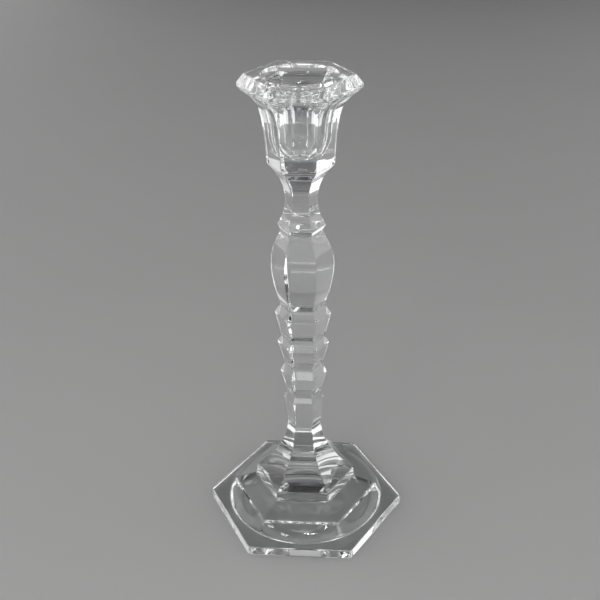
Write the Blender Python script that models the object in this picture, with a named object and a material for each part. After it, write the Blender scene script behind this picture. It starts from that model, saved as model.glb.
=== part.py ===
"""Hexagonal glass candlestick: a footed column, three stacked rings, a baluster, a neck and a candle cup.

Metres, +Z up. The origin is the centre of the foot's resting face. Every section is six-sided,
with one flat facet facing -Y, and ends in a flat joint face against its neighbour.
"""

import math

import bmesh
import bpy

MM = 0.001
FACETS = 6
ROUND_SIDES = 48
JOINT_GAP = 0.3

# Heights of the joint faces between sections, in millimetres above the table.
FOOT_TOP = 17.0
COLUMN_TOP = 70.5
LOWER_RING_TOP = 86.3
MIDDLE_RING_TOP = 101.5
UPPER_RING_TOP = 119.0
BALUSTER_TOP = 157.4
NECK_TOP = 185.0
OVERALL_HEIGHT = 229.0

# Corner radii of the hexagonal joint faces, in millimetres.
FOOT_TOP_RADIUS = 25.7
COLUMN_TOP_RADIUS = 8.3
LOWER_RING_TOP_RADIUS = 9.2
MIDDLE_RING_TOP_RADIUS = 10.4
UPPER_RING_TOP_RADIUS = 10.5
BALUSTER_TOP_RADIUS = 9.6
NECK_TOP_RADIUS = 11.4

# Foot: hexagonal plate, round dome that turns six-sided towards its top, sloping table with a steep low side.
PLATE_RADIUS = 50.7
PLATE_TOP_RADIUS = 50.1
PLATE_THICKNESS = 5.0
DOME_RADIUS = 39.7
DOME_TOP_RADIUS = 37.6
DOME_TOP_HEIGHT = 11.3
DOME_POWER = 1.4
SQUARING_POWER = 2.4
DOME_STEPS = 5
TABLE_RADIUS = 36.9
TABLE_EDGE_HEIGHT = 12.9
HOLLOW_RADIUS = 34.0
HOLLOW_DEPTH = 6.2

# Column: plinth block, concave flare to a waist, collar.
PLINTH_HEIGHT = 22.2
PLINTH_TOP_RADIUS = 25.2
COLUMN_WAIST_HEIGHT = 52.8
COLUMN_WAIST_RADIUS = 8.45
FLARE_POWER = 2.25
COLLAR_HEIGHT = 66.5
COLLAR_RADIUS = 10.0
COLLAR_FLARE_POWER = 1.6

# Rings: widest height and corner radius of each inverted cup.
LOWER_RING_EDGE = (11.45, 81.5)
MIDDLE_RING_EDGE = (12.6, 98.3)
UPPER_RING_EDGE = (13.6, 114.5)

# Baluster: widest place of the swelling.
BALUSTER_BELLY_RADIUS = 15.05
BALUSTER_BELLY_HEIGHT = 141.0

# Neck: knop edge and concave waist.
KNOP_RADIUS = 11.1
KNOP_HEIGHT = 160.3
NECK_WAIST_RADIUS = 7.4
NECK_WAIST_HEIGHT = 172.7
NECK_POWER = 2.0

# Candle cup: body that widens in three terms, evenly, gently and sharply, then a bevelled rim.
CUP_FOOT_RADIUS = 15.05
CUP_FOOT_HEIGHT = 189.2
CUP_TAPER = 2.2
CUP_SWELL = 1.5
CUP_SWELL_POWER = 3
CUP_FLARE = 6.65
CUP_FLARE_POWER = 8
CUP_FLARE_TOP = 221.8
CUP_STEPS = 12
RIM_RADIUS = 27.0
RIM_UNDER_HEIGHT = 223.6
RIM_EDGE_HEIGHT = 225.0
RIM_TOP_RADIUS = 23.8

# Candle cavity, (radius, height): mouth, its wall, a sloping seat, the throat and a round-ended bore.
MOUTH = (16.9, OVERALL_HEIGHT)
MOUTH_WALL = (15.9, 224.7)
SEAT = (12.9, 221.8)
THROAT = (10.6, 217.0)
BORE_RADIUS = 10.4
BORE_BOTTOM_HEIGHT = 192.3
BORE_END_HEIGHT = 10.8

CURVE_STEPS = 7
CUTTER_MARGIN = 2.0


def clear_objects():
    """Remove every object of the open file."""
    for item in list(bpy.data.objects):
        bpy.data.objects.remove(item, do_unlink=True)


def clear_glass():
    """Colourless, highly polished glass."""
    material = bpy.data.materials.new("clear_glass")
    material.use_nodes = True
    shader = material.node_tree.nodes["Principled BSDF"]
    shader.inputs["Base Color"].default_value = (0.95, 0.97, 0.98, 1.0)
    shader.inputs["Roughness"].default_value = 0.03
    shader.inputs["Metallic"].default_value = 0.0
    shader.inputs["IOR"].default_value = 1.52
    shader.inputs["Transmission Weight"].default_value = 1.0
    return material


def power_curve(start, end, power, steps=CURVE_STEPS):
    """Stations from start to end, both (radius, height), that leave start vertically and curve outwards."""
    radius, height = start
    end_radius, end_height = end
    stations = []
    for step in range(steps + 1):
        part = step / steps
        stations.append((radius + (end_radius - radius) * part**power, height + (end_height - height) * part))
    return stations


def sine_curve(start, end, steps=CURVE_STEPS):
    """Stations from start to end along a quarter wave that is vertical at end."""
    radius, height = start
    end_radius, end_height = end
    stations = []
    for step in range(steps + 1):
        part = step / steps
        swell = math.sin(part * math.pi / 2)
        stations.append((radius + (end_radius - radius) * swell, height + (end_height - height) * part))
    return stations


def hexagon_radius(corner_radius, angle):
    """Distance from the axis to the side of a hexagon with corners at 0, 60, 120 ... degrees."""
    sector = math.pi / 3
    off_middle = angle % sector - sector / 2
    return corner_radius * math.cos(sector / 2) / math.cos(off_middle)


def outline(corner_radius, height, sides, roundness=0.0):
    """Points of one level, blended from a hexagon (roundness 0) to a circle (roundness 1)."""
    points = []
    for index in range(sides):
        angle = 2 * math.pi * index / sides
        reach = (1 - roundness) * hexagon_radius(corner_radius, angle) + roundness * corner_radius
        points.append((reach * math.cos(angle) * MM, reach * math.sin(angle) * MM, height * MM))
    return points


def lofted_object(name, levels, material):
    """Closed object through levels from bottom to top, each a list of points of equal length."""
    mesh = bpy.data.meshes.new(name)
    built = bmesh.new()
    loops = [[built.verts.new(point) for point in level] for level in levels]
    count = len(loops[0])
    for below, above in zip(loops, loops[1:]):
        for index in range(count):
            after = (index + 1) % count
            built.faces.new((below[index], below[after], above[after], above[index]))
    built.faces.new(list(reversed(loops[0])))
    built.faces.new(loops[-1])
    bmesh.ops.recalc_face_normals(built, faces=built.faces)
    built.to_mesh(mesh)
    built.free()
    item = bpy.data.objects.new(name, mesh)
    bpy.context.collection.objects.link(item)
    mesh.materials.append(material)
    return item


def stem_section(name, stations, material):
    """Six-sided stem piece through (corner radius, height) stations, with half the joint gap left at each end."""
    bottom_radius, bottom_height = stations[0]
    top_radius, top_height = stations[-1]
    trimmed = [(bottom_radius, bottom_height + JOINT_GAP / 2)]
    trimmed += stations[1:-1]
    trimmed += [(top_radius, top_height - JOINT_GAP / 2)]
    levels = [outline(radius, height, FACETS) for radius, height in trimmed]
    return lofted_object(name, levels, material)


def turned_cutter(name, profile):
    """Solid of revolution for cutting a round cavity. The profile runs from top to bottom, as (radius, height)."""
    mesh = bpy.data.meshes.new(name)
    built = bmesh.new()
    verts = [built.verts.new((radius * MM, 0, height * MM)) for radius, height in profile]
    for first, second in zip(verts, verts[1:]):
        built.edges.new((first, second))
    built.to_mesh(mesh)
    built.free()
    item = bpy.data.objects.new(name, mesh)
    bpy.context.collection.objects.link(item)
    screw = item.modifiers.new("turn", "SCREW")
    screw.axis = "Z"
    screw.steps = ROUND_SIDES
    screw.render_steps = ROUND_SIDES
    screw.use_merge_vertices = True
    screw.merge_threshold = 0.00001
    item.hide_render = True
    item.display_type = "WIRE"
    return item


def cut(item, cutter):
    """Subtract cutter from item."""
    boolean = item.modifiers.new("cavity", "BOOLEAN")
    boolean.operation = "DIFFERENCE"
    boolean.solver = "EXACT"
    boolean.object = cutter


def shade_round(item):
    """Smooth curved faces and keep the facet edges crisp."""
    item.data.shade_smooth()
    item.data.set_sharp_from_angle(angle=math.radians(13))


def dome_levels():
    """Levels from the round foot of the dome up to its hexagonal top."""
    levels = []
    for step in range(DOME_STEPS + 1):
        rise = step / DOME_STEPS
        radius = DOME_RADIUS + (DOME_TOP_RADIUS - DOME_RADIUS) * rise**DOME_POWER
        height = PLATE_THICKNESS + (DOME_TOP_HEIGHT - PLATE_THICKNESS) * rise
        levels.append(outline(radius, height, ROUND_SIDES, roundness=1 - rise**SQUARING_POWER))
    return levels


def hollow_profile():
    """Shallow dished hollow under the foot, deepest on the axis, closed below the resting face."""
    profile = []
    for step in range(CURVE_STEPS + 1):
        part = step / CURVE_STEPS
        profile.append((HOLLOW_RADIUS * part, HOLLOW_DEPTH * (1 - part**2)))
    profile.append((HOLLOW_RADIUS, -CUTTER_MARGIN))
    profile.append((0, -CUTTER_MARGIN))
    return profile


def foot(material):
    """Hexagonal plate carrying a round dome with a sloping six-sided table, hollow underneath."""
    levels = [
        outline(PLATE_RADIUS, 0, ROUND_SIDES),
        outline(PLATE_TOP_RADIUS, PLATE_THICKNESS, ROUND_SIDES),
    ]
    levels += dome_levels()
    levels.append(outline(TABLE_RADIUS, TABLE_EDGE_HEIGHT, ROUND_SIDES))
    levels.append(outline(FOOT_TOP_RADIUS, FOOT_TOP - JOINT_GAP / 2, ROUND_SIDES))
    item = lofted_object("foot", levels, material)
    cut(item, turned_cutter("hollow_cutter", hollow_profile()))
    shade_round(item)
    return item


def flared_column(material):
    """Plinth block, concave six-sided column and the collar under the rings."""
    waist = (COLUMN_WAIST_RADIUS, COLUMN_WAIST_HEIGHT)
    lower = power_curve(waist, (PLINTH_TOP_RADIUS, PLINTH_HEIGHT), FLARE_POWER, 2 * CURVE_STEPS)
    upper = power_curve(waist, (COLLAR_RADIUS, COLLAR_HEIGHT), COLLAR_FLARE_POWER)
    stations = [(FOOT_TOP_RADIUS, FOOT_TOP)]
    stations += list(reversed(lower))
    stations += upper[1:]
    stations.append((COLUMN_TOP_RADIUS, COLUMN_TOP))
    return stem_section("flared_column", stations, material)


def ring(name, bottom, edge, top, material):
    """One inverted six-sided cup: a long taper up to its edge, then a short bevel in to its top."""
    return stem_section(name, [bottom, edge, top], material)


def baluster(material):
    """Swelling six-sided shaft between the rings and the neck."""
    belly = (BALUSTER_BELLY_RADIUS, BALUSTER_BELLY_HEIGHT)
    lower = sine_curve((UPPER_RING_TOP_RADIUS, UPPER_RING_TOP), belly)
    upper = sine_curve((BALUSTER_TOP_RADIUS, BALUSTER_TOP), belly)
    return stem_section("baluster", lower + list(reversed(upper))[1:], material)


def neck(material):
    """Knop edge and concave neck up to the underside of the candle cup."""
    waist = (NECK_WAIST_RADIUS, NECK_WAIST_HEIGHT)
    lower = power_curve(waist, (KNOP_RADIUS, KNOP_HEIGHT), NECK_POWER)
    upper = power_curve(waist, (NECK_TOP_RADIUS, NECK_TOP), NECK_POWER)
    stations = [(BALUSTER_TOP_RADIUS, BALUSTER_TOP)]
    stations += list(reversed(lower))
    stations += upper[1:]
    return stem_section("neck", stations, material)


def cup_body_stations():
    """Candle cup's side: a slight taper that turns out sharply under the rim."""
    stations = []
    for step in range(CUP_STEPS + 1):
        part = step / CUP_STEPS
        radius = CUP_FOOT_RADIUS + CUP_TAPER * part
        radius += CUP_SWELL * part**CUP_SWELL_POWER + CUP_FLARE * part**CUP_FLARE_POWER
        stations.append((radius, CUP_FOOT_HEIGHT + (CUP_FLARE_TOP - CUP_FOOT_HEIGHT) * part))
    return stations


def bore_profile():
    """Candle cavity from above the mouth down to its round end."""
    mouth_radius, mouth_height = MOUTH
    wall_radius, wall_height = MOUTH_WALL
    lean = (mouth_radius - wall_radius) / (mouth_height - wall_height)
    above = mouth_height + CUTTER_MARGIN
    profile = [(0, above), (mouth_radius + lean * CUTTER_MARGIN, above), MOUTH_WALL, SEAT, THROAT]
    for step in range(CURVE_STEPS):
        turn = step / CURVE_STEPS * math.pi / 2
        depth = BORE_END_HEIGHT * (1 - math.sin(turn))
        profile.append((BORE_RADIUS * math.cos(turn), BORE_BOTTOM_HEIGHT + depth))
    profile.append((0, BORE_BOTTOM_HEIGHT))
    return profile


def candle_cup(material):
    """Six-sided cup with a flared rim and a round cavity for the candle."""
    stations = [(NECK_TOP_RADIUS, NECK_TOP + JOINT_GAP / 2)]
    stations += cup_body_stations()
    stations += [
        (RIM_RADIUS, RIM_UNDER_HEIGHT),
        (RIM_RADIUS, RIM_EDGE_HEIGHT),
        (RIM_TOP_RADIUS, OVERALL_HEIGHT),
    ]
    levels = [outline(radius, height, FACETS) for radius, height in stations]
    item = lofted_object("candle_cup", levels, material)
    cut(item, turned_cutter("candle_cutter", bore_profile()))
    shade_round(item)
    return item


def main():
    clear_objects()
    glass = clear_glass()
    foot(glass)
    flared_column(glass)
    column_top = (COLUMN_TOP_RADIUS, COLUMN_TOP)
    lower_top = (LOWER_RING_TOP_RADIUS, LOWER_RING_TOP)
    middle_top = (MIDDLE_RING_TOP_RADIUS, MIDDLE_RING_TOP)
    upper_top = (UPPER_RING_TOP_RADIUS, UPPER_RING_TOP)
    ring("lower_ring", column_top, LOWER_RING_EDGE, lower_top, glass)
    ring("middle_ring", lower_top, MIDDLE_RING_EDGE, middle_top, glass)
    ring("upper_ring", middle_top, UPPER_RING_EDGE, upper_top, glass)
    baluster(glass)
    neck(glass)
    candle_cup(glass)


main()
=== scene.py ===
"""Clear pressed-glass candlestick in a plain studio: rounded glass sections built over the CAD frame.

Profiles are lists of (corner radius, height) in millimetres, with +Z up and the foot standing on 0.
A station with a third number is a corner, rounded that many millimetres to each side.
The eight glass pieces meet in hidden joint faces that let light straight through, as in one fused body.
"""

import math

import bmesh
import bpy
from mathutils import Matrix, Quaternion, Vector

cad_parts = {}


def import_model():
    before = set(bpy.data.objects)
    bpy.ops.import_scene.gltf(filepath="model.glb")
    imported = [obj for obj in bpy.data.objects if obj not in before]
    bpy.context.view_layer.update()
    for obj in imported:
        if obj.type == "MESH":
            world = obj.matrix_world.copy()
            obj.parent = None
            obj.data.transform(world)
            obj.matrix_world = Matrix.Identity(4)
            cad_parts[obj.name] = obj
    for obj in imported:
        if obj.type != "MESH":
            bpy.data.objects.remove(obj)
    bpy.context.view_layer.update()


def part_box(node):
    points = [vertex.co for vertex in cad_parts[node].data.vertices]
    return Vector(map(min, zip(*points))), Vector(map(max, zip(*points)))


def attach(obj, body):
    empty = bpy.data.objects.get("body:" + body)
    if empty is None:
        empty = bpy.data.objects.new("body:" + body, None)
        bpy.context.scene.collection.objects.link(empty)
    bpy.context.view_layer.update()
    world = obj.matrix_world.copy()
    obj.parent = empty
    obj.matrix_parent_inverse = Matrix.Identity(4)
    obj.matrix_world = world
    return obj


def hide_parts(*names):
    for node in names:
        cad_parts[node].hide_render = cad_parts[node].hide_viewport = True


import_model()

MM = 0.001
SIDES = 6
HALF_SECTOR = math.pi / SIDES

# The glass pieces from the foot up, and the CAD nodes they stand for.
SECTIONS = (
    ("glass_foot", "foot"),
    ("glass_column", "flared_column"),
    ("glass_lower_ring", "lower_ring"),
    ("glass_middle_ring", "middle_ring"),
    ("glass_upper_ring", "upper_ring"),
    ("glass_baluster", "baluster"),
    ("glass_neck", "neck"),
    ("glass_cup", "candle_cup"),
)

# Mesh steps: across a flat side, round an upright edge, round a profile's corner, and along each curve.
FLAT_STEPS = 12
EDGE_STEPS = 6
CORNER_STEPS = 8
DOME_STEPS = 16
HOLLOW_STEPS = 16
FLARE_STEPS = 48
WAIST_STEPS = 32
SWELL_STEPS = 24
CUP_STEPS = 40
BORE_STEPS = 16

# How strongly the large faces keep their own shading beside the rounded edges; 50 is neutral.
FACET_WEIGHT = 80

# Rounding of the six upright edges, in millimetres.
STEM_EDGE = 0.5
PLATE_EDGE = 1.8
TABLE_EDGE = 2.0
RIM_EDGE = 0.8

# Rounding of the profile's corners, in millimetres: joints lie in grooves, crests stand out.
JOINT_ROUNDING = 0.9
CREST_ROUNDING = 0.5
PLATE_TOP_ROUNDING = 0.8
PLATE_BOTTOM_ROUNDING = 1.0
HOLLOW_ROUNDING = 0.6
DOME_FOOT_ROUNDING = 1.0
DOME_TOP_ROUNDING = 0.4
TABLE_ROUNDING = 0.7
COLLAR_ROUNDING = 0.8
CUP_FOOT_ROUNDING = 0.7
FLARE_TOP_ROUNDING = 0.4
RIM_TOP_ROUNDING = 0.6
MOUTH_ROUNDING = 0.6
SEAT_ROUNDING = 1.2
THROAT_ROUNDING = 1.5

# How far a profile runs on past a rounded corner at its end, in millimetres.
RUN_ON = 2.0
DOME_RUN_ON = 3.0

# Foot, lengths in millimetres: hexagonal plate, dome, sloping table with a steep low side, hollow below.
PLATE_THICKNESS = 5.0
PLATE_DRAFT = 0.6
DOME_RADIUS = 39.7
DOME_TOP = (37.6, 11.3)
DOME_POWER = 1.4
SQUARING_POWER = 2.4
TABLE_RIM = (36.9, 12.9)
HOLLOW_RADIUS = 34.0
HOLLOW_DEPTH = 6.2

# Stem, lengths in millimetres. The radii of the rings' crests and the baluster's belly are the frame's.
JOINT_RADII = (25.7, 8.3, 9.2, 10.4, 10.5, 9.6, 11.4)
PLINTH_TOP = (25.2, 22.2)
FLARE_POWER = 2.25
COLUMN_WAIST = (8.45, 52.8)
COLLAR_POWER = 1.6
COLLAR = (10.0, 66.5)
LOWER_CREST_HEIGHT = 81.5
MIDDLE_CREST_HEIGHT = 98.3
UPPER_CREST_HEIGHT = 114.5
BELLY_HEIGHT = 141.0
KNOP = (11.1, 160.3)
NECK_WAIST = (7.4, 172.7)
NECK_POWER = 2.0

# Cup, lengths in millimetres: side, bevelled rim and candle cavity.
CUP_FOOT = (15.05, 189.2)
CUP_TAPER = 2.2
CUP_SWELL = 1.5
CUP_SWELL_POWER = 3
CUP_FLARE = 6.65
CUP_FLARE_POWER = 8
CUP_FLARE_TOP = 221.8
RIM_UNDER_HEIGHT = 223.6
RIM_EDGE_HEIGHT = 225.0
RIM_TOP_RADIUS = 23.8
MOUTH_RADIUS = 16.9
MOUTH_WALL = (15.9, 224.7)
SEAT = (12.9, 221.8)
THROAT = (10.6, 217.0)
BORE_RADIUS = 10.4
BORE_BOTTOM = 192.3
BORE_END = 10.8

# Glass: slow waves of the pressing and a finer texture, with their depths in metres.
REFRACTION = 1.52
GLASS_TINT = (0.985, 0.992, 0.995, 1.0)
SHADOW_TINT = (0.86, 0.87, 0.87, 1.0)
WAVE_SCALE = 70.0
WAVE_DEPTH = 0.000014
SKIN_SCALE = 420.0
SKIN_DEPTH = 0.000001
DULL_START = 0.45
DULL_FULL = 0.75
DULLEST = 0.04

# Stage: lengths in metres, and the panels' places in degrees round the object.
FLOOR_RADIUS = 1.65
FLOOR_SIDES = 128
FLOOR_DROP = 0.0004
FLOOR_ROUGHNESS = 0.8
FLOOR_MOTTLE_SCALE = 6.0
FLOOR_DARK = (0.54, 0.54, 0.535, 1.0)
FLOOR_LIGHT = (0.57, 0.57, 0.565, 1.0)
ROOM_HORIZON = (0.16, 0.16, 0.165, 1.0)
ROOM_ABOVE = (0.03, 0.03, 0.032, 1.0)
ROOM_FADE = 0.4
LIGHT_AIM_HEIGHT = 0.11
LIGHT_DISTANCE = 0.75
PANEL_DISTANCE = 1.7
PANEL_STEP = 24
FIRST_PANEL = 40
LAST_PANEL = 328

# Camera: place in heights of the candlestick, angles in degrees but the roll in radians, nearest sight in
# metres, lens and sensor in millimetres.
CAMERA_DISTANCE = 1.7036
CAMERA_HEIGHT = 1.4613
CAMERA_TURN = 4.325
CAMERA_SWING = -0.188
CAMERA_PITCH = 28.715
CAMERA_ROLL = -0.0158
CAMERA_LENS = 56.41
CAMERA_SENSOR = 36.0
CAMERA_NEAREST = 0.01

# Most bounces of light.
GLASS_BOUNCES = 32
MIRROR_BOUNCES = 16
CLEAR_BOUNCES = 64


# ---------------------------------------------------------------- sizes read from the frame


def joint_height(lower, upper):
    """Height where two neighbouring sections meet, half way across the gap between their solids."""
    return (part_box(lower)[1].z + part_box(upper)[0].z) / 2 / MM


def widest(node):
    """Largest corner radius of a node; its corners lie on the X axis."""
    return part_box(node)[1].x / MM


NODES = [node for _, node in SECTIONS]
JOINTS = [joint_height(lower, upper) for lower, upper in zip(NODES, NODES[1:])]
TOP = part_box("candle_cup")[1].z / MM


# ---------------------------------------------------------------- profiles


def power_curve(start, end, power, steps):
    """Stations from start to end along a power curve that is vertical at start."""
    stations = []
    for step in range(steps + 1):
        part = step / steps
        radius = start[0] + (end[0] - start[0]) * part**power
        stations.append((radius, start[1] + (end[1] - start[1]) * part))
    return stations


def sine_curve(start, end):
    """Stations from start to end along a quarter wave that is vertical at end."""
    stations = []
    for step in range(SWELL_STEPS + 1):
        part = step / SWELL_STEPS
        radius = start[0] + (end[0] - start[0]) * math.sin(part * math.pi / 2)
        stations.append((radius, start[1] + (end[1] - start[1]) * part))
    return stations


def along(points, lengths, where):
    """Point of a polyline at a distance along it."""
    for index in range(1, len(points) - 1):
        if lengths[index] >= where:
            break
    else:
        index = len(points) - 1
    part = (where - lengths[index - 1]) / (lengths[index] - lengths[index - 1])
    return points[index - 1].lerp(points[index], part)


def soften(stations):
    """Profile with its corners rounded, as plain (radius, height) stations."""
    points = [Vector(station[:2]) for station in stations]
    reaches = [station[2] if len(station) == 3 else 0 for station in stations]
    lengths = [0.0]
    for before, after in zip(points, points[1:]):
        lengths.append(lengths[-1] + (after - before).length)
    taken = [(length, reach) for length, reach in zip(lengths, reaches) if reach]
    out = []
    for point, length, reach in zip(points, lengths, reaches):
        if reach:
            start = along(points, lengths, length - reach)
            end = along(points, lengths, length + reach)
            for step in range(CORNER_STEPS + 1):
                part = step / CORNER_STEPS
                out.append(tuple(start.lerp(point, part).lerp(point.lerp(end, part), part)))
        elif all(abs(length - place) > size for place, size in taken):
            out.append(tuple(point))
    return out


def corner(station, rounding):
    """Station that is a rounded corner."""
    return (*station, rounding)


def joint(index):
    """Station on a joint face, counted from the foot."""
    return (JOINT_RADII[index], JOINTS[index])


def groove(index):
    """Rounded corner on a joint face."""
    return corner(joint(index), JOINT_ROUNDING)


def foot_stations():
    """From the plate's top up the dome and the table's low side, then up its slope to the plinth."""
    dome = power_curve((DOME_RADIUS, PLATE_THICKNESS), DOME_TOP, DOME_POWER, DOME_STEPS)
    stations = [(DOME_RADIUS + DOME_RUN_ON, PLATE_THICKNESS), corner(dome[0], DOME_FOOT_ROUNDING)]
    stations += dome[1:-1]
    stations += [corner(DOME_TOP, DOME_TOP_ROUNDING), corner(TABLE_RIM, TABLE_ROUNDING), groove(0)]
    return stations


def column_stations():
    """Plinth edge, concave flare, waist and collar."""
    stations = [corner(PLINTH_TOP, CREST_ROUNDING)]
    stations += power_curve(COLUMN_WAIST, PLINTH_TOP, FLARE_POWER, FLARE_STEPS)[-2:0:-1]
    stations += power_curve(COLUMN_WAIST, COLLAR, COLLAR_POWER, WAIST_STEPS)[:-1]
    stations += [corner(COLLAR, COLLAR_ROUNDING), groove(1)]
    return stations


def ring_stations():
    """The three rings, each widening to a crest and drawn in above it."""
    return [
        (widest("lower_ring"), LOWER_CREST_HEIGHT, CREST_ROUNDING),
        groove(2),
        (widest("middle_ring"), MIDDLE_CREST_HEIGHT, CREST_ROUNDING),
        groove(3),
        (widest("upper_ring"), UPPER_CREST_HEIGHT, CREST_ROUNDING),
        groove(4),
    ]


def baluster_stations():
    """Swelling between the rings and the neck."""
    belly = (widest("baluster"), BELLY_HEIGHT)
    return sine_curve(joint(4), belly)[1:] + sine_curve(joint(5), belly)[-2:0:-1] + [groove(5)]


def neck_stations():
    """Knop and concave neck."""
    stations = [corner(KNOP, CREST_ROUNDING)]
    stations += power_curve(NECK_WAIST, KNOP, NECK_POWER, WAIST_STEPS)[-2:0:-1]
    stations += power_curve(NECK_WAIST, joint(6), NECK_POWER, WAIST_STEPS)[:-1]
    stations.append(groove(6))
    return stations


def cup_side():
    """Side of the candle cup: an even taper, a gentle swell and a sharp flare under the rim."""
    foot_radius, foot_height = CUP_FOOT
    stations = []
    for step in range(CUP_STEPS + 1):
        part = step / CUP_STEPS
        radius = foot_radius + CUP_TAPER * part + CUP_SWELL * part**CUP_SWELL_POWER
        radius += CUP_FLARE * part**CUP_FLARE_POWER
        stations.append((radius, foot_height + (CUP_FLARE_TOP - foot_height) * part))
    return stations


def cup_stations():
    """Outside of the cup and its rim, up to the flat top."""
    side = cup_side()
    rim = widest("candle_cup")
    stations = [corner(side[0], CUP_FOOT_ROUNDING)]
    stations += side[1:-1]
    stations.append(corner(side[-1], FLARE_TOP_ROUNDING))
    stations.append((rim, RIM_UNDER_HEIGHT, CREST_ROUNDING))
    stations.append((rim, RIM_EDGE_HEIGHT, CREST_ROUNDING))
    stations.append((RIM_TOP_RADIUS, TOP, RIM_TOP_ROUNDING))
    stations.append((RIM_TOP_RADIUS - RUN_ON, TOP))
    return stations


def outer_profile():
    """Whole outside from the plate's top at the dome up to the flat of the rim."""
    stations = foot_stations() + column_stations() + ring_stations()
    stations += baluster_stations() + neck_stations() + cup_stations()
    return soften(stations)


def radius_at(profile, height):
    """Radius where a rising profile passes a height."""
    for (low_radius, low), (high_radius, high) in zip(profile, profile[1:]):
        if low <= height < high:
            return low_radius + (high_radius - low_radius) * (height - low) / (high - low)
    return profile[-1][0]


def stretch(profile, low=None, high=None):
    """Part of a rising profile between two joint heights; without one it runs on to the profile's end."""
    clearance = 0.02
    above = -math.inf if low is None else low + clearance
    below = math.inf if high is None else high - clearance
    part = [station for station in profile if above < station[1] < below]
    if low is not None:
        part.insert(0, (radius_at(profile, low), low))
    if high is not None:
        part.append((radius_at(profile, high), high))
    return part


# ---------------------------------------------------------------- levels


def outline(corner_radius, height, edge=STEM_EDGE, roundness=0.0):
    """Loop of one level: a hexagon with rounded edges, blended towards a circle by roundness."""
    apothem = corner_radius * math.cos(HALF_SECTOR)
    half_flat = (apothem - edge) * math.tan(HALF_SECTOR)
    sector = []
    for step in range(FLAT_STEPS + 1):
        sector.append((apothem, half_flat * (2 * step / FLAT_STEPS - 1)))
    for step in range(1, EDGE_STEPS):
        turn = 2 * HALF_SECTOR * step / EDGE_STEPS
        sector.append((apothem - edge + edge * math.cos(turn), half_flat + edge * math.sin(turn)))
    points = []
    for side in range(SIDES):
        middle = (2 * side + 1) * HALF_SECTOR
        for x, y in sector:
            reach = (1 - roundness) * math.hypot(x, y) + roundness * corner_radius
            angle = middle + math.atan2(y, x)
            points.append(Vector((reach * math.cos(angle), reach * math.sin(angle), height)) * MM)
    return points


def ring_of(radius, height):
    """Round level."""
    return outline(radius, height, roundness=1.0)


def blend(value, start, end):
    """How far value is from start to end, kept between 0 and 1."""
    return min(1.0, max(0.0, (value - start) / (end - start)))


def upper_foot_levels(profile):
    """Loops from the joint down the table and the dome, which is six-sided at its top and round below."""
    levels = []
    for radius, height in reversed(stretch(profile, high=JOINTS[0])):
        squareness = blend(height, PLATE_THICKNESS, DOME_TOP[1]) ** SQUARING_POWER
        spread = blend(radius, radius_at(profile, JOINTS[0]), TABLE_RIM[0])
        edge = STEM_EDGE + (TABLE_EDGE - STEM_EDGE) * spread
        levels.append(outline(radius, height, edge, 1 - squareness))
    return levels


def plate_levels():
    """Loops from the plate's top over its slightly sloping side to its underside."""
    plate_radius = widest("foot")
    stations = [
        (DOME_RADIUS, PLATE_THICKNESS),
        (plate_radius - PLATE_DRAFT, PLATE_THICKNESS, PLATE_TOP_ROUNDING),
        (plate_radius, 0.0, PLATE_BOTTOM_ROUNDING),
        (HOLLOW_RADIUS, 0.0),
    ]
    return [outline(radius, height, PLATE_EDGE) for radius, height in soften(stations)[1:-1]]


def hollow_levels():
    """Loops from the flat underside up into the dished hollow."""
    stations = [(HOLLOW_RADIUS + RUN_ON, 0.0), (HOLLOW_RADIUS, 0.0, HOLLOW_ROUNDING)]
    for step in range(1, HOLLOW_STEPS):
        part = 1 - step / HOLLOW_STEPS
        stations.append((HOLLOW_RADIUS * part, HOLLOW_DEPTH * (1 - part**2)))
    return [ring_of(radius, height) for radius, height in soften(stations)]


def cavity_levels():
    """Loops from the flat of the rim down the mouth, the sloping seat and the bore to its round end."""
    stations = [
        (MOUTH_RADIUS + RUN_ON, TOP),
        (MOUTH_RADIUS, TOP, MOUTH_ROUNDING),
        corner(MOUTH_WALL, SEAT_ROUNDING),
        corner(SEAT, SEAT_ROUNDING),
        corner(THROAT, THROAT_ROUNDING),
    ]
    for step in range(BORE_STEPS):
        turn = step / BORE_STEPS * math.pi / 2
        depth = BORE_END * (1 - math.sin(turn))
        stations.append((BORE_RADIUS * math.cos(turn), BORE_BOTTOM + depth))
    return [ring_of(radius, height) for radius, height in soften(stations)]


def cup_levels(profile):
    """Loops from the joint up the cup and over the rim, then down into the candle cavity."""
    levels = []
    for radius, height in stretch(profile, low=JOINTS[-1]):
        edge = STEM_EDGE + (RIM_EDGE - STEM_EDGE) * blend(height, RIM_UNDER_HEIGHT, TOP)
        levels.append(outline(radius, height, edge))
    return levels + cavity_levels()


# ---------------------------------------------------------------- materials


def empty_material(name):
    """Node material with only an output, and its nodes, links and output."""
    material = bpy.data.materials.new(name)
    material.use_nodes = True
    nodes, links = material.node_tree.nodes, material.node_tree.links
    nodes.clear()
    return material, nodes, links, nodes.new("ShaderNodeOutputMaterial")


def noise(nodes, links, place, scale, detail):
    """Noise texture laid out in the object's own space."""
    texture = nodes.new("ShaderNodeTexNoise")
    texture.inputs["Scale"].default_value = scale
    texture.inputs["Detail"].default_value = detail
    links.new(place.outputs["Object"], texture.inputs["Vector"])
    return texture


def bump(nodes, links, texture, depth):
    """Bump from a texture, its depth in metres."""
    relief = nodes.new("ShaderNodeBump")
    relief.inputs["Strength"].default_value = 1.0
    relief.inputs["Distance"].default_value = depth
    links.new(texture.outputs["Fac"], relief.inputs["Height"])
    return relief


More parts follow.
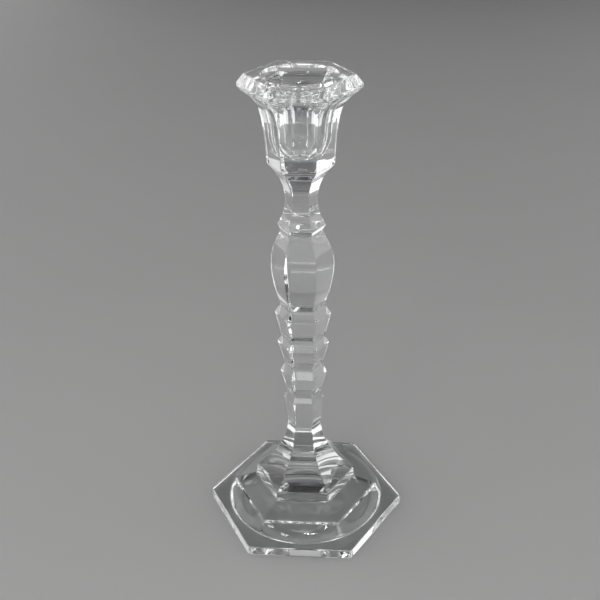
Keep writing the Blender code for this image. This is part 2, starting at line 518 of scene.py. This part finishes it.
def glass_material():
    """Colourless pressed glass: fire-polished skin with a faint waviness and a few duller patches."""
    material, nodes, links, output = empty_material("clear_glass")
    shader = nodes.new("ShaderNodeBsdfPrincipled")
    shader.inputs["Base Color"].default_value = GLASS_TINT
    shader.inputs["IOR"].default_value = REFRACTION
    shader.inputs["Transmission Weight"].default_value = 1.0

    place = nodes.new("ShaderNodeTexCoord")
    wave = noise(nodes, links, place, WAVE_SCALE, detail=1.0)
    skin = noise(nodes, links, place, SKIN_SCALE, detail=2.0)
    coarse = bump(nodes, links, wave, WAVE_DEPTH)
    fine = bump(nodes, links, skin, SKIN_DEPTH)
    links.new(coarse.outputs["Normal"], fine.inputs["Normal"])
    links.new(fine.outputs["Normal"], shader.inputs["Normal"])

    dull = nodes.new("ShaderNodeMapRange")
    dull.inputs["From Min"].default_value = DULL_START
    dull.inputs["From Max"].default_value = DULL_FULL
    dull.inputs["To Min"].default_value = 0.0
    dull.inputs["To Max"].default_value = DULLEST
    links.new(skin.outputs["Fac"], dull.inputs["Value"])
    links.new(dull.outputs["Result"], shader.inputs["Roughness"])

    path = nodes.new("ShaderNodeLightPath")
    clear = nodes.new("ShaderNodeBsdfTransparent")
    clear.inputs["Color"].default_value = SHADOW_TINT
    mix = nodes.new("ShaderNodeMixShader")
    links.new(path.outputs["Is Shadow Ray"], mix.inputs["Fac"])
    links.new(shader.outputs["BSDF"], mix.inputs[1])
    links.new(clear.outputs["BSDF"], mix.inputs[2])
    links.new(mix.outputs["Shader"], output.inputs["Surface"])
    return material


def joint_material():
    """Fused joint inside the glass: light passes straight on."""
    material, nodes, links, output = empty_material("fused_joint")
    clear = nodes.new("ShaderNodeBsdfTransparent")
    links.new(clear.outputs["BSDF"], output.inputs["Surface"])
    return material


def floor_material():
    """Pale matt table with the faintest mottling."""
    material = bpy.data.materials.new("pale_floor")
    material.use_nodes = True
    nodes, links = material.node_tree.nodes, material.node_tree.links
    shader = nodes["Principled BSDF"]
    shader.inputs["Roughness"].default_value = FLOOR_ROUGHNESS
    place = nodes.new("ShaderNodeTexCoord")
    mottle = noise(nodes, links, place, FLOOR_MOTTLE_SCALE, detail=2.0)
    tone = nodes.new("ShaderNodeValToRGB")
    tone.color_ramp.elements[0].color = FLOOR_DARK
    tone.color_ramp.elements[1].color = FLOOR_LIGHT
    links.new(mottle.outputs["Fac"], tone.inputs["Fac"])
    links.new(tone.outputs["Color"], shader.inputs["Base Color"])
    return material


GLASS = glass_material()
JOINT = joint_material()


# ---------------------------------------------------------------- glass pieces


def glass_piece(name, node, levels, pole=None):
    """Closed section through loops, from one joint face to another, or to the axis at the pole's height."""
    mesh = bpy.data.meshes.new(name)
    built = bmesh.new()
    loops = [[built.verts.new(point) for point in level] for level in levels]
    count = len(loops[0])
    for first, second in zip(loops, loops[1:]):
        for index in range(count):
            after = (index + 1) % count
            face = built.faces.new((first[index], first[after], second[after], second[index]))
            face.smooth = True
    joints = [built.faces.new(loops[0])]
    if pole is None:
        joints.append(built.faces.new(loops[-1]))
    else:
        tip = built.verts.new((0, 0, pole * MM))
        for index in range(count):
            face = built.faces.new((loops[-1][index], loops[-1][(index + 1) % count], tip))
            face.smooth = True
    for face in joints:
        face.material_index = 1
    bmesh.ops.recalc_face_normals(built, faces=built.faces)
    built.to_mesh(mesh)
    built.free()
    item = bpy.data.objects.new(name, mesh)
    bpy.context.collection.objects.link(item)
    mesh.materials.append(GLASS)
    mesh.materials.append(JOINT)
    weighted = item.modifiers.new("flat_facets", "WEIGHTED_NORMAL")
    weighted.weight = FACET_WEIGHT
    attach(item, "root")
    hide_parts(node)


def build_glass():
    """All eight sections, cut from one outer profile."""
    profile = outer_profile()
    for index, (name, node) in enumerate(SECTIONS):
        if node == "foot":
            levels = upper_foot_levels(profile) + plate_levels() + hollow_levels()
            glass_piece(name, node, levels, pole=HOLLOW_DEPTH)
        elif node == "candle_cup":
            glass_piece(name, node, cup_levels(profile), pole=BORE_BOTTOM)
        else:
            part = stretch(profile, JOINTS[index - 1], JOINTS[index])
            glass_piece(name, node, [outline(radius, height) for radius, height in part])


# ---------------------------------------------------------------- stage


def floor():
    """Round floor, a hair below the foot: the glass rests on its highest grains, with air between."""
    mesh = bpy.data.meshes.new("floor")
    built = bmesh.new()
    lowered = Matrix.Translation((0, 0, -FLOOR_DROP))
    bmesh.ops.create_circle(
        built, cap_ends=True, segments=FLOOR_SIDES, radius=FLOOR_RADIUS, matrix=lowered
    )
    built.to_mesh(mesh)
    built.free()
    mesh.materials.append(floor_material())
    item = bpy.data.objects.new("floor", mesh)
    bpy.context.collection.objects.link(item)


def softbox(name, azimuth, elevation, width, height, brightness, tilt=0.0, distance=LIGHT_DISTANCE):
    """Rectangular soft light, width and height in metres, aimed at the object from a ring around it.

    Angles are in degrees. Azimuth 0 is behind the object and 90 is to its right.
    Brightness 1 is as bright as a white page. A negative tilt lowers the light's right end, as seen from
    behind it.
    """
    aim = Vector((0, 0, LIGHT_AIM_HEIGHT))
    heading, rise = math.radians(azimuth), math.radians(elevation)
    level = math.cos(rise)
    way = Vector((math.sin(heading) * level, math.cos(heading) * level, math.sin(rise)))
    light = bpy.data.lights.new(name, "AREA")
    light.shape = "RECTANGLE"
    light.size = width
    light.size_y = height
    light.energy = brightness * math.pi * width * height
    item = bpy.data.objects.new(name, light)
    bpy.context.collection.objects.link(item)
    item.location = aim + way * distance
    item.rotation_mode = "QUATERNION"
    roll = Quaternion((0, 0, 1), math.radians(tilt))
    item.rotation_quaternion = (-way).to_track_quat("-Z", "Y") @ roll
    item.visible_camera = False


def wall_of_light():
    """Soft panels side by side round the front and the sides, with a dimmer row above.

    The wall is open straight behind the object, and dimmer beside that opening.
    """
    for azimuth in range(FIRST_PANEL, LAST_PANEL + 1, PANEL_STEP):
        behind = azimuth in (FIRST_PANEL, LAST_PANEL)
        softbox(
            f"panel_{azimuth}",
            azimuth,
            elevation=12,
            width=0.72,
            height=1.04,
            brightness=0.7 if behind else 1.3,
            distance=PANEL_DISTANCE,
        )
        softbox(
            f"upper_{azimuth}",
            azimuth,
            elevation=40,
            width=0.59,
            height=0.32,
            brightness=0.3 if behind else 0.7,
            distance=PANEL_DISTANCE,
        )


def highlights():
    """Lights for single reflections on the foot, the collar and the lower ring."""
    softbox("top", azimuth=187, elevation=67, width=0.17, height=0.10, brightness=2.4)
    softbox("tube", azimuth=172, elevation=56, width=0.16, height=0.03, brightness=30.0, tilt=-45)
    softbox("lamp", azimuth=205, elevation=34, width=0.08, height=0.20, brightness=9.0)
    softbox(
        "behind",
        azimuth=356,
        elevation=24,
        width=0.45,
        height=0.24,
        brightness=0.4,
        distance=PANEL_DISTANCE,
    )
    softbox("front", azimuth=184, elevation=2.2, width=0.2, height=0.03, brightness=3.2)


def world():
    """Dim room: grey at the horizon and below it, darker above."""
    made = bpy.data.worlds.new("studio")
    made.use_nodes = True
    nodes, links = made.node_tree.nodes, made.node_tree.links
    place = nodes.new("ShaderNodeTexCoord")
    split = nodes.new("ShaderNodeSeparateXYZ")
    links.new(place.outputs["Generated"], split.inputs["Vector"])
    tone = nodes.new("ShaderNodeValToRGB")
    tone.color_ramp.elements[0].position = 0.0
    tone.color_ramp.elements[0].color = ROOM_HORIZON
    tone.color_ramp.elements[1].position = ROOM_FADE
    tone.color_ramp.elements[1].color = ROOM_ABOVE
    links.new(split.outputs["Z"], tone.inputs["Fac"])
    links.new(tone.outputs["Color"], nodes["Background"].inputs["Color"])
    bpy.context.scene.world = made


def camera():
    """Camera in front of the facet that faces -Y, a little to its right, looking down."""
    height = TOP * MM
    distance = CAMERA_DISTANCE * height
    turn = math.radians(CAMERA_TURN)
    heading = math.radians(CAMERA_SWING) - turn
    pitch = math.radians(CAMERA_PITCH)
    level = math.cos(pitch)
    look = Vector((math.sin(heading) * level, math.cos(heading) * level, -math.sin(pitch)))
    level_right = Vector((math.cos(heading), -math.sin(heading), 0))
    level_up = level_right.cross(look)
    right = level_right * math.cos(CAMERA_ROLL) + level_up * math.sin(CAMERA_ROLL)
    up = level_up * math.cos(CAMERA_ROLL) - level_right * math.sin(CAMERA_ROLL)
    data = bpy.data.cameras.new("camera")
    data.sensor_width = CAMERA_SENSOR
    data.lens = CAMERA_LENS
    data.clip_start = CAMERA_NEAREST
    item = bpy.data.objects.new("camera", data)
    bpy.context.collection.objects.link(item)
    item.location = (distance * math.sin(turn), -distance * math.cos(turn), CAMERA_HEIGHT * height)
    item.rotation_mode = "QUATERNION"
    item.rotation_quaternion = Matrix((right, up, -look)).transposed().to_quaternion()
    bpy.context.scene.camera = item


def light_paths():
    """Enough bounces for light to cross the many facets, and no caustics."""
    cycles = bpy.context.scene.cycles
    cycles.max_bounces = GLASS_BOUNCES
    cycles.transmission_bounces = GLASS_BOUNCES
    cycles.glossy_bounces = MIRROR_BOUNCES
    cycles.transparent_max_bounces = CLEAR_BOUNCES
    cycles.caustics_refractive = False
    cycles.caustics_reflective = False


build_glass()
floor()
world()
wall_of_light()
highlights()
camera()
light_paths()
bpy.context.scene.view_settings.view_transform = "Standard"
